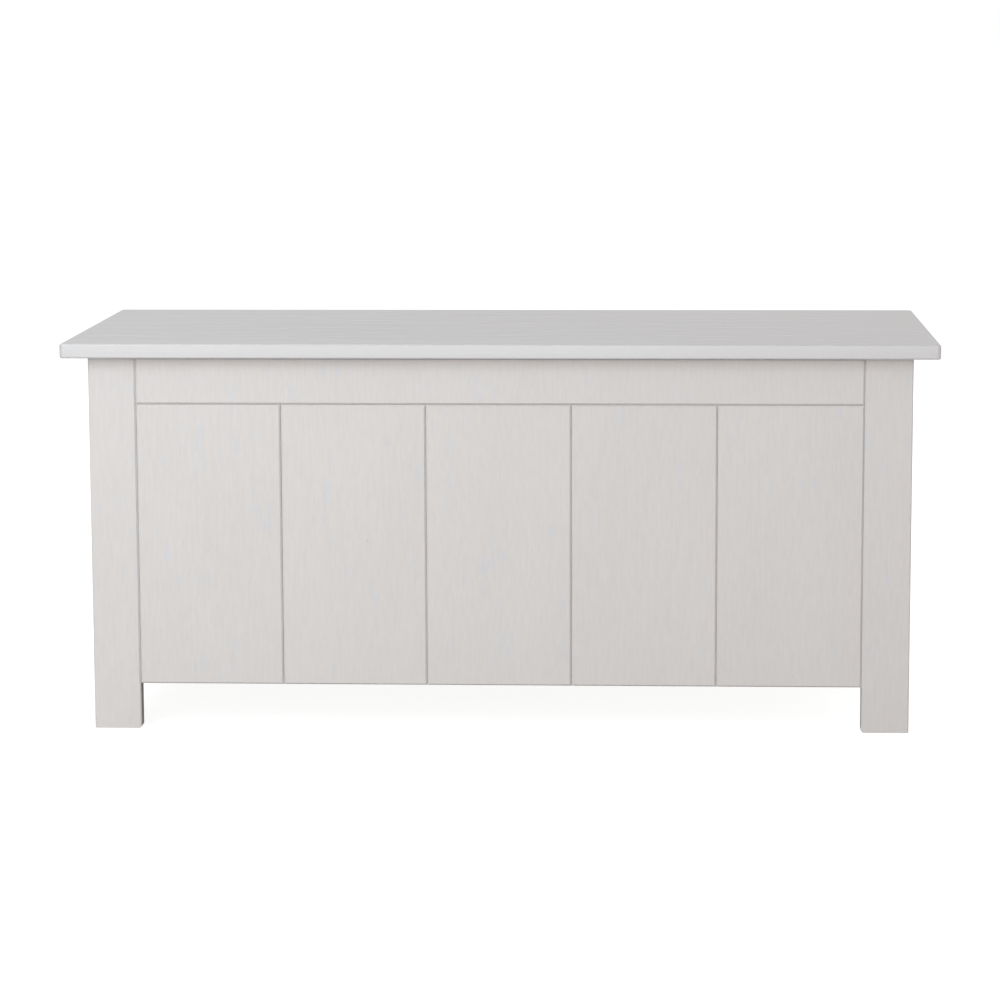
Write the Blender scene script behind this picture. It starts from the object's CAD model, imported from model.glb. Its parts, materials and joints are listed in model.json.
"""Looks of a painted wooden toy box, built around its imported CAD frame. Metres, +Z up."""

import json
import math

import bmesh
import bpy
from bpy.props import FloatProperty, FloatVectorProperty, PointerProperty
from mathutils import Matrix, Vector
from mathutils.noise import noise as noise_at


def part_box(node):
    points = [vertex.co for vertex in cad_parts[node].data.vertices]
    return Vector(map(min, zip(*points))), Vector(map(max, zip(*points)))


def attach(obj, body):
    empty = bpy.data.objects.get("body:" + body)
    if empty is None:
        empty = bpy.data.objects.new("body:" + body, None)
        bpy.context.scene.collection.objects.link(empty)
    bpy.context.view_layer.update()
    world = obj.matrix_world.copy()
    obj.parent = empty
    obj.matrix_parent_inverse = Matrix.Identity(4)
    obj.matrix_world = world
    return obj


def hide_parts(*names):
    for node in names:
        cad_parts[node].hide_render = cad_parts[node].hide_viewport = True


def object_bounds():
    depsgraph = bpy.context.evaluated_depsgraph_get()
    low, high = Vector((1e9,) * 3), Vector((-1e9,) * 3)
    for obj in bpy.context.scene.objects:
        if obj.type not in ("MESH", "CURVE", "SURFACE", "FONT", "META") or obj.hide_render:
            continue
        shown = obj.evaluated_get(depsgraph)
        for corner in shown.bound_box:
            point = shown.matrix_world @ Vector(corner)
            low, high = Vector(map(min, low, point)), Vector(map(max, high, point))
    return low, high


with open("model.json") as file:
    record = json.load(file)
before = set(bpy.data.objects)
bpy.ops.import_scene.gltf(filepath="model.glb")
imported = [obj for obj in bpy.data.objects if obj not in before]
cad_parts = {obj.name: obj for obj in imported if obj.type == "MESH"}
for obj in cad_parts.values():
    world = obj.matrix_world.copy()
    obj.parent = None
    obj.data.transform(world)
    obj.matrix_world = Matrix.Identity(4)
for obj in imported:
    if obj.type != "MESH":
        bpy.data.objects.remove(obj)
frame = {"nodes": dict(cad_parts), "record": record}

bl_info = {
    "name": "Painted Toy Box",
    "version": (1, 0, 0),
    "blender": (4, 5, 0),
    "location": "View3D > Sidebar > Toy Box",
    "description": "Finishes, fittings and studio for a framed toy box with a hinged lid",
    "category": "Object",
}

CAD_LOW, CAD_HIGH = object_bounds()
MM = 0.001

# How far, in metres, a piece's number between 0 and 1 may move its pattern.
PIECE_SHIFT = (7.3, 11.9, 5.1)

# Specks in the whitewash, and oily steel in the cross of a screw head.
SPECK = "#7C766F"
RECESS_DARK = "#1E1F20"
RECESS_LIGHT = "#35373A"

# Cleaning and rounding of the CAD nodes.
WELD_GAP = 0.005 * MM
FLAT_WITHIN = math.radians(0.5)
EDGE_SHARPER_THAN = math.radians(28)
SCREW_SHARPER_THAN = math.radians(35)

# Screws: share of each leaf's or cleat's length, and insets from a bracket's ends.
CLEAT_SCREW = 3.6 * MM
PLATE_PROUD = 0.35 * MM
CLEAT_SCREW_SHARES = (0.08, 0.36, 0.64, 0.92)
LEAF_SCREW_SHARES = ((0.13, 0.30), (0.5, 0.52), (0.87, 0.30))
LID_BRACKET_SCREW_SHARES = (0.18, 0.82)
HALF_LEAF_GAP = 0.15 * MM
BRACKET_SHEET = 2 * MM
BODY_BRACKET_SCREW_INSET = 7 * MM
LID_BRACKET_SCREW_INSET = 12 * MM

# Felt discs: wander of the outline as a share of the radius, its spacing, steps around the rim,
# and the side's outline from foot to crown, as shares of the radius and of the thickness.
FELT_FUZZ = 0.015
FELT_FUZZ_SPACING = 0.6 * MM
FELT_STEPS = 64
FELT_PROFILE = (
    (0.86, 0), (0.96, 0.12), (1, 0.4), (0.98, 0.68), (0.9, 0.88), (0.7, 0.97), (0.35, 1),
)

# Stage: the floor, the room's light and the camera.
FLOOR_HALF = 60.0
FLOOR_GREY = "#A0A0A0"
ROOM_LIGHT = "#FFFBF8"
CAMERA_PLACE = (0.19883, -4.32551, 0.90022)
CAMERA_YAW = -0.0481
CAMERA_PITCH = 0.1461
CAMERA_ROLL = -0.0034
SENSOR_WIDTH = 36.0
CLIP_END = 200.0


def linear(hex_colour):
    """An sRGB hex colour as linear red, green and blue."""
    values = [int(hex_colour[i : i + 2], 16) / 255 for i in (1, 3, 5)]
    return tuple(
        v / 12.92 if v <= 0.04045 else ((v + 0.055) / 1.055) ** 2.4 for v in values
    )


def length(name, description, default):
    """A length property in metres."""
    return FloatProperty(
        name=name, description=description, default=default, min=0, precision=5,
        subtype="DISTANCE", unit="LENGTH",
    )


def colour(name, description, hex_colour):
    """A colour property with an sRGB hex default."""
    return FloatVectorProperty(
        name=name, description=description, default=linear(hex_colour), size=3,
        min=0, max=1, subtype="COLOR",
    )


# ---- settings ---------------------------------------------------------------------------


class ToyBoxColours(bpy.types.PropertyGroup):
    """Colours of the finishes."""

    wall_paint: colour("Wall paint", "Whitewash on the walls and legs", "#D2CECB")
    wall_fleck: colour("Wall fleck", "Cool flecks where the wash is thin", "#C8CDD5")
    lid_paint: colour("Lid paint", "Satin paint on the lid", "#CCCBCB")
    bare_pine: colour("Bare pine", "Early wood of the planed battens", "#D9BC8E")
    pine_late_wood: colour("Late wood", "Darker rings of the pine", "#B98A52")
    plywood: colour("Plywood", "Sanded birch face of the bottom panel", "#DCC7A4")
    zinc: colour("Zinc plate", "Plated hinges, brackets and screws", "#B9BCBF")
    tube: colour("Stay tube", "Black enamel of the gas cylinders", "#17181A")
    rod: colour("Stay rod", "Hard chrome of the piston rods", "#D8DADC")
    felt: colour("Felt", "Wool felt of the bumper pads", "#CFCABF")


class ToyBoxSizes(bpy.types.PropertyGroup):
    """Sizes of what is added to the frame."""

    timber_edge: length("Timber edge", "Rounding of sanded timber edges", 0.6 * MM)
    metal_edge: length("Metal edge", "Rounding of pressed steel edges", 0.25 * MM)
    screw_radius: length("Screw head radius", "Countersunk head of the hinge screws", 2.9 * MM)
    screw_proud: length("Screw height", "How far a hinge screw stands above its leaf", 0.12 * MM)


class ToyBoxStage(bpy.types.PropertyGroup):
    """Camera and light."""

    lens: FloatProperty(
        name="Lens", description="Focal length", default=118.5, unit="CAMERA"
    )
    key_power: FloatProperty(
        name="Key light", description="Cool softbox near the upper left front", default=23.5,
        unit="POWER",
    )
    front_power: FloatProperty(
        name="Front light", description="Broad light from behind the camera", default=98,
        unit="POWER",
    )
    top_power: FloatProperty(
        name="Top light", description="Softbox above and behind", default=29, unit="POWER"
    )
    back_power: FloatProperty(
        name="Back light", description="Low light that gives the lid its sheen", default=2.5,
        unit="POWER",
    )
    side_power: FloatProperty(
        name="Side light", description="Fill for the right side and the rear", default=40,
        unit="POWER",
    )
    room_strength: FloatProperty(
        name="Room light", description="Even light from the room", default=0.51
    )
    floor_white: FloatProperty(
        name="Floor white", description="How white the unshadowed floor looks", default=0.91
    )


# ---- node and mesh helpers ----------------------------------------------------------------


def add(tree, kind, inputs=None, **properties):
    """Adds a node, sets its properties, and fills or links its inputs."""
    node = tree.nodes.new(kind)
    for name, value in properties.items():
        setattr(node, name, value)
    for key, value in (inputs or {}).items():
        if isinstance(value, bpy.types.NodeSocket):
            tree.links.new(value, node.inputs[key])
        else:
            node.inputs[key].default_value = value
    return node


def new_material(name):
    """An empty node material with its Principled shader and output."""
    material = bpy.data.materials.new(name)
    material.use_nodes = True
    tree = material.node_tree
    tree.nodes.clear()
    shader = add(tree, "ShaderNodeBsdfPrincipled")
    add(tree, "ShaderNodeOutputMaterial", {"Surface": shader.outputs["BSDF"]})
    return material, tree, shader


def settings():
    """The scene's colours, sizes and stage values."""
    scene = bpy.context.scene
    return scene.toy_box_colours, scene.toy_box_sizes, scene.toy_box_stage


def rgba(values):
    return (*values, 1.0)


def nodes_in_slot(slot):
    """The CAD nodes whose record entry has that material slot."""
    rows = frame["record"]["subparts"]
    return [frame["nodes"][row["node"]] for row in rows if row["material_slot"] == slot]


def soften(node, width, segments=3):
    """Cleans a faceted CAD node's flats and rounds its edges, without changing its mesh."""
    weld = node.modifiers.new("weld", "WELD")
    weld.merge_threshold = WELD_GAP
    flats = node.modifiers.new("flats", "DECIMATE")
    flats.decimate_type = "DISSOLVE"
    flats.angle_limit = FLAT_WITHIN
    bevel = node.modifiers.new("edges", "BEVEL")
    bevel.width = width
    bevel.segments = segments
    bevel.limit_method = "ANGLE"
    bevel.angle_limit = EDGE_SHARPER_THAN
    bevel.use_clamp_overlap = True
    bevel.harden_normals = False
    normals = node.modifiers.new("normals", "WEIGHTED_NORMAL")
    normals.keep_sharp = True
    for face in node.data.polygons:
        face.use_smooth = True


def carry(slot, width, segments=3):
    """Keeps the CAD nodes of a slot, with rounded edges and that slot's finish."""
    for node in nodes_in_slot(slot):
        soften(node, width, segments)
        node.data.materials.clear()
        node.data.materials.append(finish(slot))


def coordinates(tree, spacing):
    """Object coordinates divided by a spacing along each axis, moved for each piece."""
    place = add(tree, "ShaderNodeTexCoord").outputs["Object"]
    info = add(tree, "ShaderNodeObjectInfo").outputs["Random"]
    jump = add(
        tree, "ShaderNodeVectorMath", {0: info, 1: PIECE_SHIFT}, operation="MULTIPLY"
    ).outputs[0]
    place = add(
        tree, "ShaderNodeVectorMath", {0: place, 1: jump}, operation="ADD"
    ).outputs[0]
    scale = tuple(1 / value for value in spacing)
    return add(
        tree, "ShaderNodeVectorMath", {0: place, 1: scale}, operation="MULTIPLY"
    ).outputs[0]


def noise(tree, spacing, detail=2.0, roughness=0.5):
    """Noise whose grains are spacing metres long along each axis."""
    return add(
        tree, "ShaderNodeTexNoise",
        {"Vector": coordinates(tree, spacing), "Scale": 1.0, "Detail": detail, "Roughness": roughness},
    ).outputs["Fac"]


def between(tree, value, low, high, out_low=0.0, out_high=1.0):
    """Maps a value from one range to another, held at the ends."""
    return add(
        tree, "ShaderNodeMapRange",
        {"Value": value, "From Min": low, "From Max": high, "To Min": out_low, "To Max": out_high},
    ).outputs["Result"]


def mix(tree, factor, first, second, blend="MIX"):
    """Mixes two colours; each may be a colour or a socket."""
    return add(
        tree, "ShaderNodeMix", {0: factor, 6: first, 7: second}, data_type="RGBA", blend_type=blend
    ).outputs[2]


def times(tree, first, second):
    return add(tree, "ShaderNodeMath", {0: first, 1: second}, operation="MULTIPLY").outputs[0]


def plus(tree, first, second):
    return add(tree, "ShaderNodeMath", {0: first, 1: second}, operation="ADD").outputs[0]


# ---- materials ----------------------------------------------------------------------------


def whitewashed_pine(name):
    """Thin warm-grey wash on machined pine: almost even, with faint upright grain and streaks,
    cool flecks where the wash is thin, and a few specks. Satin, so the grain shows in the gloss
    too. The grain is drawn a little coarser than pine's so that it shows."""
    colours = settings()[0]
    material, tree, shader = new_material(name)
    grain = noise(tree, (1.4 * MM, 1.4 * MM, 70 * MM), detail=3)
    cloud = noise(tree, (110 * MM, 110 * MM, 260 * MM), detail=1)
    streak = noise(tree, (3.6 * MM, 3.6 * MM, 20 * MM), detail=3, roughness=0.6)
    fleck_shape = noise(tree, (9 * MM, 9 * MM, 30 * MM), detail=2, roughness=0.6)
    fleck_area = noise(tree, (60 * MM, 60 * MM, 90 * MM), detail=1)
    fleck = times(
        tree, between(tree, fleck_shape, 0.57, 0.68), between(tree, fleck_area, 0.42, 0.60)
    )
    fine = plus(
        tree, between(tree, grain, 0.3, 0.7, -0.014, 0.014),
        between(tree, streak, 0.3, 0.7, -0.024, 0.024),
    )
    tone = plus(tree, fine, between(tree, cloud, 0.3, 0.7, 0.985, 1.01))
    paint = mix(tree, times(tree, fleck, 0.44), rgba(colours.wall_paint), rgba(colours.wall_fleck))
    toned = mix(tree, 1.0, paint, tone, "MULTIPLY")
    speck_distance = add(
        tree, "ShaderNodeTexVoronoi",
        {"Vector": coordinates(tree, (70 * MM, 70 * MM, 70 * MM)), "Scale": 1.0},
    ).outputs["Distance"]
    speck = between(tree, speck_distance, 0.008, 0.014, 0.45, 0.0)
    tree.links.new(mix(tree, speck, toned, rgba(linear(SPECK))), shader.inputs["Base Color"])
    tree.links.new(between(tree, grain, 0.3, 0.7, 0.46, 0.58), shader.inputs["Roughness"])
    height = plus(tree, times(tree, grain, 0.7), times(tree, fleck, 0.5))
    bump = add(tree, "ShaderNodeBump", {"Height": height, "Strength": 0.4, "Distance": 0.2 * MM})
    tree.links.new(bump.outputs[0], shader.inputs["Normal"])
    shader.inputs["IOR"].default_value = 1.48
    return material


def satin_lid_paint(name):
    """Opaque cool-grey satin paint on a planed pine panel: smoother than the walls, with a
    long faint grain that only the sheen picks out."""
    colours = settings()[0]
    material, tree, shader = new_material(name)
    grain = noise(tree, (160 * MM, 2.2 * MM, 2.2 * MM), detail=3)
    cloud = noise(tree, (320 * MM, 120 * MM, 120 * MM), detail=1)
    fleck_shape = noise(tree, (4.5 * MM, 26 * MM, 26 * MM), detail=2, roughness=0.6)
    tone = plus(
        tree, between(tree, grain, 0.3, 0.7, -0.008, 0.008), between(tree, cloud, 0.3, 0.7, 0.99, 1.008)
    )
    pale = times(tree, between(tree, fleck_shape, 0.62, 0.74), 0.35)
    paint = mix(tree, pale, rgba(colours.lid_paint), rgba(colours.wall_fleck))
    tree.links.new(mix(tree, 1.0, paint, tone, "MULTIPLY"), shader.inputs["Base Color"])
    tree.links.new(between(tree, grain, 0.3, 0.7, 0.20, 0.28), shader.inputs["Roughness"])
    bump = add(tree, "ShaderNodeBump", {"Height": grain, "Strength": 0.18, "Distance": 0.1 * MM})
    tree.links.new(bump.outputs[0], shader.inputs["Normal"])
    shader.inputs["IOR"].default_value = 1.48
    return material


def planed_pine(name):
    """Planed softwood left bare: pale early wood with darker rings stretched along the bar."""
    colours = settings()[0]
    material, tree, shader = new_material(name)
    wander = noise(tree, (180 * MM, 180 * MM, 60 * MM), detail=2)
    rings = add(
        tree, "ShaderNodeTexWave",
        {"Vector": coordinates(tree, (260 * MM, 260 * MM, 7 * MM)), "Scale": 1.0,
         "Distortion": 2.4, "Detail": 2.0, "Detail Scale": 1.2},
        wave_type="BANDS", bands_direction="Z",
    ).outputs["Fac"]
    late = times(tree, between(tree, rings, 0.45, 0.95), between(tree, wander, 0.3, 0.7, 0.35, 0.8))
    tree.links.new(
        mix(tree, late, rgba(colours.bare_pine), rgba(colours.pine_late_wood)),
        shader.inputs["Base Color"],
    )
    tree.links.new(between(tree, rings, 0.2, 0.9, 0.68, 0.52), shader.inputs["Roughness"])
    bump = add(tree, "ShaderNodeBump", {"Height": rings, "Strength": 0.2, "Distance": 0.1 * MM})
    tree.links.new(bump.outputs[0], shader.inputs["Normal"])
    return material


def birch_plywood(name):
    """Rotary-cut birch face: pale, with broad wandering figure and fine pores; the edge shows
    its thin plies, because bands follow the height."""
    colours = settings()[0]
    material, tree, shader = new_material(name)
    figure = noise(tree, (240 * MM, 26 * MM, 26 * MM), detail=3, roughness=0.6)
    pores = noise(tree, (9 * MM, 0.7 * MM, 0.7 * MM), detail=2)
    dark = tuple(value * 0.78 for value in colours.plywood)
    face = mix(tree, between(tree, figure, 0.35, 0.7), rgba(colours.plywood), rgba(dark))
    tone = between(tree, pores, 0.35, 0.75, 1.0, 0.9)
    tree.links.new(mix(tree, 1.0, face, tone, "MULTIPLY"), shader.inputs["Base Color"])
    tree.links.new(between(tree, figure, 0.3, 0.7, 0.5, 0.62), shader.inputs["Roughness"])
    bump = add(tree, "ShaderNodeBump", {"Height": pores, "Strength": 0.15, "Distance": 0.06 * MM})
    tree.links.new(bump.outputs[0], shader.inputs["Normal"])
    return material


def zinc_plated_steel(name):
    """Bright zinc on pressed steel: cool grey metal with a fine rolled grain and dull patches."""
    colours = settings()[0]
    material, tree, shader = new_material(name)
    rolled = noise(tree, (12 * MM, 0.5 * MM, 0.5 * MM), detail=2)
    patch = noise(tree, (9 * MM, 9 * MM, 9 * MM), detail=2)
    tone = plus(
        tree, between(tree, patch, 0.3, 0.7, 0.9, 1.0), between(tree, rolled, 0.3, 0.7, -0.04, 0.04)
    )
    tree.links.new(
        mix(tree, 1.0, rgba(colours.zinc), tone, "MULTIPLY"), shader.inputs["Base Color"]
    )
    tree.links.new(between(tree, patch, 0.3, 0.7, 0.26, 0.42), shader.inputs["Roughness"])
    bump = add(tree, "ShaderNodeBump", {"Height": rolled, "Strength": 0.1, "Distance": 0.03 * MM})
    tree.links.new(bump.outputs[0], shader.inputs["Normal"])
    shader.inputs["Metallic"].default_value = 1.0
    return material


def darkened_recess(name):
    """The cross cut in a screw head: unplated, oily and in shadow, so nearly black."""
    material, tree, shader = new_material(name)
    stain = noise(tree, (1.5 * MM, 1.5 * MM, 1.5 * MM), detail=2)
    dark = mix(tree, stain, rgba(linear(RECESS_DARK)), rgba(linear(RECESS_LIGHT)))
    tree.links.new(dark, shader.inputs["Base Color"])
    tree.links.new(between(tree, stain, 0.3, 0.7, 0.45, 0.7), shader.inputs["Roughness"])
    shader.inputs["Metallic"].default_value = 0.6
    return material


def black_enamel(name):
    """Stoved black enamel on a steel tube: deep black, semi-gloss, a very fine orange peel."""
    colours = settings()[0]
    material, tree, shader = new_material(name)
    peel = noise(tree, (1.3 * MM, 1.3 * MM, 1.3 * MM), detail=1)
    rub = noise(tree, (14 * MM, 14 * MM, 40 * MM), detail=3)
    lighter = tuple(value * 1.9 + 0.004 for value in colours.tube)
    tree.links.new(
        mix(tree, between(tree, rub, 0.5, 0.8), rgba(colours.tube), rgba(lighter)),
        shader.inputs["Base Color"],
    )
    tree.links.new(between(tree, rub, 0.3, 0.8, 0.26, 0.44), shader.inputs["Roughness"])
    bump = add(tree, "ShaderNodeBump", {"Height": peel, "Strength": 0.12, "Distance": 0.03 * MM})
    tree.links.new(bump.outputs[0], shader.inputs["Normal"])
    return material


def hard_chrome(name):
    """Ground and chromed rod: mirror-like, with hair-fine turning marks across it."""
    colours = settings()[0]
    material, tree, shader = new_material(name)
    turning = noise(tree, (6 * MM, 6 * MM, 0.35 * MM), detail=1)
    tree.links.new(
        mix(tree, 1.0, rgba(colours.rod), between(tree, turning, 0.3, 0.7, 0.95, 1.0), "MULTIPLY"),
        shader.inputs["Base Color"],
    )
    tree.links.new(between(tree, turning, 0.3, 0.7, 0.09, 0.17), shader.inputs["Roughness"])
    shader.inputs["Metallic"].default_value = 1.0
    return material


def wool_felt(name):
    """Pressed wool felt: matt and fuzzy, with tangled fibres about a tenth of a millimetre wide,
    drawn a little coarser so that they show."""
    colours = settings()[0]
    material, tree, shader = new_material(name)
    fibre = noise(tree, (0.5 * MM, 0.5 * MM, 0.5 * MM), detail=4, roughness=0.7)
    dark = tuple(value * 0.72 for value in colours.felt)
    tree.links.new(
        mix(tree, between(tree, fibre, 0.3, 0.7), rgba(dark), rgba(colours.felt)),
        shader.inputs["Base Color"],
    )
    bump = add(tree, "ShaderNodeBump", {"Height": fibre, "Strength": 0.6, "Distance": 0.25 * MM})
    tree.links.new(bump.outputs[0], shader.inputs["Normal"])
    shader.inputs["Roughness"].default_value = 0.95
    shader.inputs["Sheen Weight"].default_value = 0.4
    return material


FINISHES = {
    "painted_pine": ("Whitewashed pine", whitewashed_pine),
    "painted_lid": ("Satin paint on pine", satin_lid_paint),
    "bare_pine": ("Planed bare pine", planed_pine),
    "plywood": ("Sanded birch plywood", birch_plywood),
    "zinc_steel": ("Zinc-plated steel", zinc_plated_steel),
    "recess": ("Oily screw recess", darkened_recess),
    "black_tube": ("Black stoved enamel", black_enamel),
    "chrome_rod": ("Hard chrome", hard_chrome),
    "felt": ("Pressed wool felt", wool_felt),
}


def finish(slot):
    """The material of a slot, made when it is first asked for."""
    name, maker = FINISHES[slot]
    return bpy.data.materials.get(name) or maker(name)


# ---- mesh pieces ----------------------------------------------------------------------------


def finish_piece(bm, name, body, slot):
    """Turns a bmesh that is already in place into a named piece that rides a body."""
    mesh = bpy.data.meshes.new(name)
    bmesh.ops.recalc_face_normals(bm, faces=bm.faces)
    bm.to_mesh(mesh)
    bm.free()
    mesh.materials.append(finish(slot))
    mesh.shade_smooth()
    piece = bpy.data.objects.new(name, mesh)
    bpy.context.scene.collection.objects.link(piece)
    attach(piece, body)
    return piece


def ring(bm, place, radius, height, steps=28):
    """Adds a ring of vertices around the local Z axis."""
    angles = [2 * math.pi * step / steps for step in range(steps)]
    return [
        bm.verts.new(place @ Vector((radius * math.cos(a), radius * math.sin(a), height)))
        for a in angles
    ]


def bridge(bm, first, second, material_index=0):
    """Joins two loops of the same length with a band of faces."""
    for index, vertex in enumerate(first):
        after = (index + 1) % len(first)
        face = bm.faces.new((vertex, first[after], second[after], second[index]))
        face.material_index = material_index


def cross_outline(arm, half):
    """The twelve corners of a cross, in order around it."""
    corners = []
    for quarter in range(4):
        turn = Matrix.Rotation(quarter * math.pi / 2, 2)
        corners += [turn @ Vector(corner) for corner in ((arm, -half), (arm, half), (half, half))]
    return corners


def screw(bm, place, radius, proud):
    """Adds a countersunk head whose top faces local +Z, with a shallow dark cross recess."""
    rim = ring(bm, place, 0.92 * radius, proud)
    skirt = ring(bm, place, radius, 0.4 * proud)
    foot = ring(bm, place, 0.6 * radius, -0.45 * radius)
    outline = cross_outline(0.6 * radius, 0.13 * radius)
    upper = [bm.verts.new(place @ Vector((x, y, proud))) for x, y in outline]
    lower = [bm.verts.new(place @ Vector((x, y, 0.2 * proud))) for x, y in outline]
    edges = [
        bm.edges.new((vertex, loop[(index + 1) % len(loop)]))
        for loop in (rim, upper)
        for index, vertex in enumerate(loop)
    ]
    bmesh.ops.triangle_fill(bm, use_beauty=True, use_dissolve=False, edges=edges)
    bridge(bm, rim, skirt)
    bridge(bm, skirt, foot)
    bridge(bm, upper, lower, 1)
    bm.faces.new(lower).material_index = 1
    bm.faces.new(foot)


def screws(name, body, places, radius=None, proud=None):
    """One piece that holds the screw heads at these places."""
    sizes = settings()[1]
    bm = bmesh.new()
    for place in places:
        screw(bm, place, radius or sizes.screw_radius, proud or sizes.screw_proud)
    piece = finish_piece(bm, name, body, "zinc_steel")
    piece.data.materials.append(finish("recess"))
    piece.data.set_sharp_from_angle(angle=SCREW_SHARPER_THAN)
    return piece


# ---- operators ------------------------------------------------------------------------------


class TOYBOX_OT_walls(bpy.types.Operator):
    """Round and paint the four walls and their legs"""

    bl_idname = "toybox.walls"
    bl_label = "Walls"

    def execute(self, context):
        carry("painted_pine", settings()[1].timber_edge)
        return {"FINISHED"}


class TOYBOX_OT_lid(bpy.types.Operator):
    """Round and paint the lid and its cleats, and screw the cleats on"""

    bl_idname = "toybox.lid"
    bl_label = "Lid"

    def execute(self, context):
        carry("painted_lid", settings()[1].timber_edge)
        for side in ("left", "right"):
            low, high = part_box(f"lid_{side}_cleat")
            places = []
            for share in CLEAT_SCREW_SHARES:
                y = low.y + share * (high.y - low.y)
                places.append(facing_down((low.x + high.x) / 2, y, low.z))
            screws(f"lid_{side}_cleat_screws", "lid", places, CLEAT_SCREW, PLATE_PROUD)
        return {"FINISHED"}


def facing_down(x, y, z):
    return Matrix.Translation((x, y, z)) @ Matrix.Rotation(math.pi, 4, "X")


def facing_up(x, y, z):
    return Matrix.Translation((x, y, z))


class TOYBOX_OT_bottom(bpy.types.Operator):
    """Finish the bottom panel and the battens that carry it"""

    bl_idname = "toybox.bottom"
    bl_label = "Bottom"

    def execute(self, context):
        for slot in ("bare_pine", "plywood"):
            carry(slot, settings()[1].timber_edge)
        return {"FINISHED"}


class TOYBOX_OT_hinges(bpy.types.Operator):
    """Plate the butt hinges and fit their screws"""

    bl_idname = "toybox.hinges"
    bl_label = "Hinges"

    def execute(self, context):
        carry("zinc_steel", settings()[1].metal_edge, segments=2)
        for hinge in ("left_hinge", "middle_hinge", "right_hinge"):
            self.fit_screws(hinge, "body_leaf", "box", facing_up)
            self.fit_screws(hinge, "lid_leaf", "lid", facing_down)
        return {"FINISHED"}

    def fit_screws(self, hinge, leaf, body, facing):
        low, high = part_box(f"{hinge}_{leaf}")
        pin_low, pin_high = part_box(f"{hinge}_pin")
        seam = (pin_low.z + pin_high.z) / 2
        z = seam - HALF_LEAF_GAP if body == "box" else seam + HALF_LEAF_GAP
        places = []
        for share, depth in LEAF_SCREW_SHARES:
            x = low.x + share * (high.x - low.x)
            places.append(facing(x, low.y + depth * (high.y - low.y), z))
        screws(f"{hinge}_{leaf}_screws", body, places)


class TOYBOX_OT_stays(bpy.types.Operator):
    """Enamel the gas cylinders, chrome their rods and screw the brackets on"""

    bl_idname = "toybox.stays"
    bl_label = "Gas stays"

    def execute(self, context):
        for slot in ("black_tube", "chrome_rod"):
            carry(slot, settings()[1].metal_edge, segments=2)
        for side, sign in (("left", -1), ("right", 1)):
            self.fit_bracket_screws(side, sign)
        return {"FINISHED"}

    def fit_bracket_screws(self, side, sign):
        low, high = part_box(f"{side}_stay_body_bracket")
        face = high.x - BRACKET_SHEET if sign > 0 else low.x + BRACKET_SHEET
        towards = Matrix.Rotation(-sign * math.pi / 2, 4, "Y")
        y = (low.y + high.y) / 2
        places = []
        for z in (low.z + BODY_BRACKET_SCREW_INSET, high.z - BODY_BRACKET_SCREW_INSET):
            places.append(Matrix.Translation((face, y, z)) @ towards)
        screws(f"{side}_stay_body_bracket_screws", "box", places, proud=PLATE_PROUD)
        low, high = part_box(f"{side}_stay_lid_bracket")
        x = low.x + LID_BRACKET_SCREW_INSET if sign > 0 else high.x - LID_BRACKET_SCREW_INSET
        places = [
            facing_down(x, low.y + share * (high.y - low.y), high.z - BRACKET_SHEET)
            for share in LID_BRACKET_SCREW_SHARES
        ]
        screws(f"{side}_stay_lid_bracket_screws", "lid", places, proud=PLATE_PROUD)


class TOYBOX_OT_pads(bpy.types.Operator):
    """Make the bumper pads of pressed felt"""

    bl_idname = "toybox.pads"
    bl_label = "Bumper pads"

    def execute(self, context):
        for node in nodes_in_slot("felt"):
            low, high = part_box(node.name)
            bm = bmesh.new()
            self.felt_disc(bm, (low + high) / 2, (high.x - low.x) / 2, low.z, high.z - low.z)
            piece = finish_piece(bm, f"felt_{node.name}", "box", "felt")
            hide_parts(node.name)
        return {"FINISHED"}

    def felt_disc(self, bm, centre, radius, bottom, thick):
        """A punched disc: soft crowned top, rounded rim, and a slightly fuzzy outline."""
        place = Matrix.Translation((centre.x, centre.y, bottom))
        rings = [
            ring(bm, place, radius * share, thick * height, FELT_STEPS) for share, height in FELT_PROFILE
        ]
        for first, second in zip(rings, rings[1:]):
            bridge(bm, first, second)
        bm.faces.new(rings[0])
        bm.faces.new(rings[-1])
        for vertex in bm.verts:
            fuzz = noise_at(vertex.co / FELT_FUZZ_SPACING)
            inwards = Vector((centre.x - vertex.co.x, centre.y - vertex.co.y, 0))
            vertex.co += inwards * FELT_FUZZ * (1 + fuzz)


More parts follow.
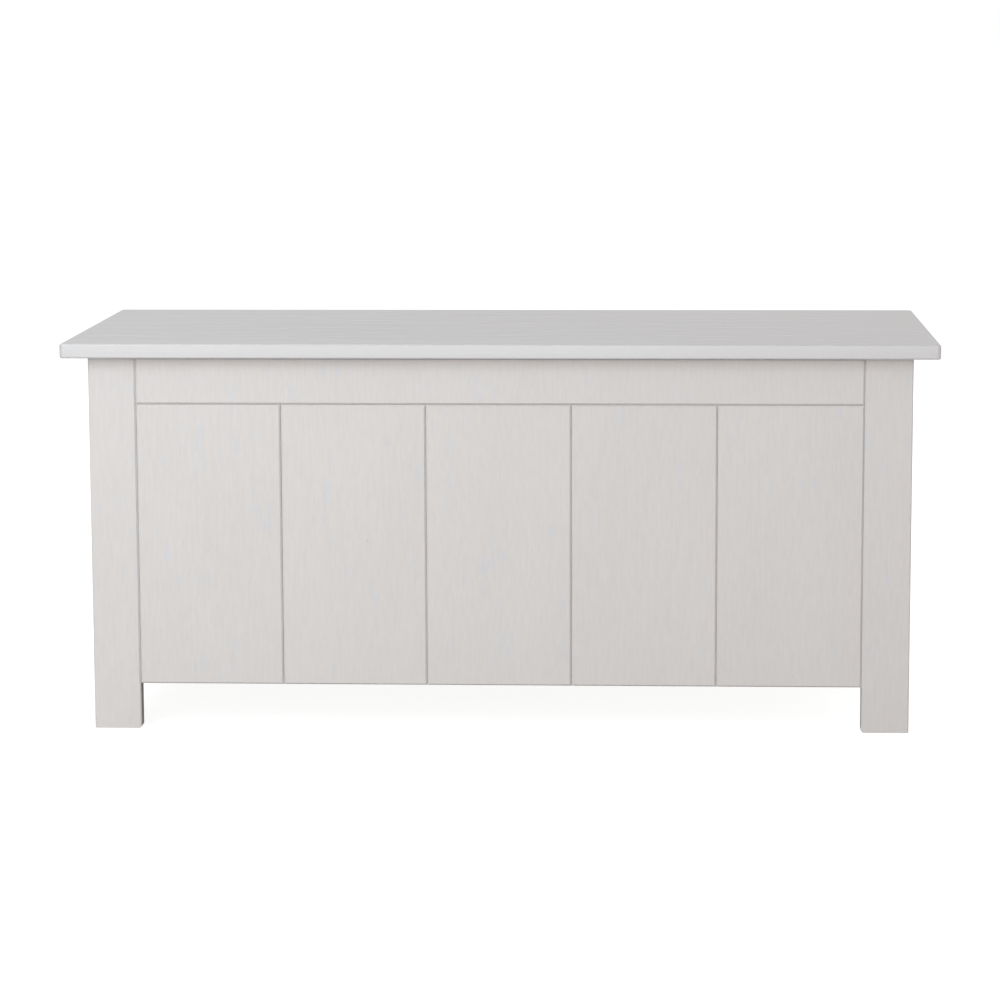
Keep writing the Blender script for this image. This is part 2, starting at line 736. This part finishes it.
class TOYBOX_OT_stage(bpy.types.Operator):
    """Lay the floor, place the lights and set the camera"""

    bl_idname = "toybox.stage"
    bl_label = "Stage"

    def execute(self, context):
        self.floor()
        self.lights()
        self.room()
        self.camera()
        context.scene.view_settings.view_transform = "Standard"
        return {"FINISHED"}

    def floor(self):
        """A seamless white floor: paper white to the eye with a faint shadow under the legs,
        while the box gets no more light from it than a pale floor gives back."""
        bm = bmesh.new()
        corners = ((-1, -1), (1, -1), (1, 1), (-1, 1))
        bm.faces.new([bm.verts.new((FLOOR_HALF * x, FLOOR_HALF * y, 0)) for x, y in corners])
        mesh = bpy.data.meshes.new("studio_floor")
        bm.to_mesh(mesh)
        bm.free()
        made = bpy.data.materials.new("White studio floor")
        made.use_nodes = True
        tree = made.node_tree
        tree.nodes.clear()
        ray = add(tree, "ShaderNodeLightPath").outputs["Is Camera Ray"]
        matt = add(tree, "ShaderNodeBsdfDiffuse", {"Color": rgba(linear(FLOOR_GREY))}).outputs[0]
        glow = add(tree, "ShaderNodeEmission", {"Strength": settings()[2].floor_white})
        seen = add(tree, "ShaderNodeAddShader", {0: glow.outputs[0], 1: matt}).outputs[0]
        both = add(tree, "ShaderNodeMixShader", {0: ray, 1: matt, 2: seen})
        add(tree, "ShaderNodeOutputMaterial", {"Surface": both.outputs[0]})
        mesh.materials.append(made)
        piece = bpy.data.objects.new("studio_floor", mesh)
        bpy.context.scene.collection.objects.link(piece)

    def lights(self):
        stage = settings()[2]
        centre = (CAD_LOW + CAD_HIGH) / 2
        self.softbox("key_light", (-1.3, -2.0, 1.5), centre, (1.2, 1.2), stage.key_power, "#E9F6FF")
        self.softbox("front_light", (-0.5, -5.0, 0.9), centre, (3.2, 1.7), stage.front_power, "#FFFBF9")
        self.softbox("top_light", (-0.95, 2.0, 3.2), centre, (1.1, 3.0), stage.top_power, "#F8FAFF")
        for name, place in (("right_fill", (3.6, 0.6, 1.3)), ("rear_fill", (-0.6, 3.8, 1.4))):
            fill = self.softbox(name, place, centre, (2.5, 2.0), stage.side_power, "#FFFFFF")
            fill.visible_glossy = False
        self.softbox("back_light", (0.0, 3.5, 1.2), centre, (3.0, 3.0), stage.back_power, "#E8F2FF")

    def softbox(self, name, place, target, size, power, hex_colour):
        data = bpy.data.lights.new(name, "AREA")
        data.shape = "RECTANGLE"
        data.size, data.size_y = size
        data.energy = power
        data.color = linear(hex_colour)
        lamp = bpy.data.objects.new(name, data)
        lamp.location = place
        lamp.rotation_euler = (target - Vector(place)).to_track_quat("-Z", "Y").to_euler()
        bpy.context.scene.collection.objects.link(lamp)
        return lamp

    def room(self):
        world = bpy.data.worlds.new("White room")
        world.use_nodes = True
        tree = world.node_tree
        tree.nodes.clear()
        strength = settings()[2].room_strength
        warm = rgba(linear(ROOM_LIGHT))
        light = add(tree, "ShaderNodeBackground", {"Color": warm, "Strength": strength})
        seen = add(tree, "ShaderNodeBackground", {"Color": (1, 1, 1, 1), "Strength": 1.0})
        ray = add(tree, "ShaderNodeLightPath").outputs["Is Camera Ray"]
        both = add(tree, "ShaderNodeMixShader", {0: ray, 1: light.outputs[0], 2: seen.outputs[0]})
        add(tree, "ShaderNodeOutputWorld", {"Surface": both.outputs[0]})
        bpy.context.scene.world = world

    def camera(self):
        """Stands a little right of the middle, above the lid, and looks slightly left and down."""
        yaw, pitch, roll = CAMERA_YAW, CAMERA_PITCH, CAMERA_ROLL
        across = math.cos(pitch)
        forward = Vector((math.sin(yaw) * across, math.cos(yaw) * across, -math.sin(pitch)))
        level = Vector((math.cos(yaw), -math.sin(yaw), 0))
        above = level.cross(forward)
        right = level * math.cos(roll) + above * math.sin(roll)
        up = above * math.cos(roll) - level * math.sin(roll)
        data = bpy.data.cameras.new("camera")
        data.sensor_width = SENSOR_WIDTH
        data.lens = settings()[2].lens
        data.clip_end = CLIP_END
        camera = bpy.data.objects.new("camera", data)
        turn = Matrix((right, up, -forward)).transposed().to_4x4()
        camera.matrix_world = Matrix.Translation(CAMERA_PLACE) @ turn
        bpy.context.scene.collection.objects.link(camera)
        bpy.context.scene.camera = camera


class TOYBOX_PT_sidebar(bpy.types.Panel):
    """Lists the settings and the steps that build the looks"""

    bl_label = "Toy Box"
    bl_idname = "TOYBOX_PT_sidebar"
    bl_space_type = "VIEW_3D"
    bl_region_type = "UI"
    bl_category = "Toy Box"

    def draw(self, context):
        for group in (
            context.scene.toy_box_colours, context.scene.toy_box_sizes, context.scene.toy_box_stage
        ):
            box = self.layout.box()
            for name in group.__annotations__:
                box.prop(group, name)
        for operator in OPERATORS:
            self.layout.operator(operator.bl_idname)


GROUPS = (ToyBoxColours, ToyBoxSizes, ToyBoxStage)
OPERATORS = (
    TOYBOX_OT_walls, TOYBOX_OT_lid, TOYBOX_OT_bottom, TOYBOX_OT_hinges, TOYBOX_OT_stays,
    TOYBOX_OT_pads, TOYBOX_OT_stage,
)


def register():
    for cls in (*GROUPS, *OPERATORS, TOYBOX_PT_sidebar):
        bpy.utils.register_class(cls)
    bpy.types.Scene.toy_box_colours = PointerProperty(type=ToyBoxColours)
    bpy.types.Scene.toy_box_sizes = PointerProperty(type=ToyBoxSizes)
    bpy.types.Scene.toy_box_stage = PointerProperty(type=ToyBoxStage)


def unregister():
    del bpy.types.Scene.toy_box_stage
    del bpy.types.Scene.toy_box_sizes
    del bpy.types.Scene.toy_box_colours
    for cls in reversed((*GROUPS, *OPERATORS, TOYBOX_PT_sidebar)):
        bpy.utils.unregister_class(cls)


def main():
    """Runs every step in order."""
    register()
    for operator in OPERATORS:
        group, name = operator.bl_idname.split(".")
        getattr(getattr(bpy.ops, group), name)()


if __name__ == "__main__":
    main()
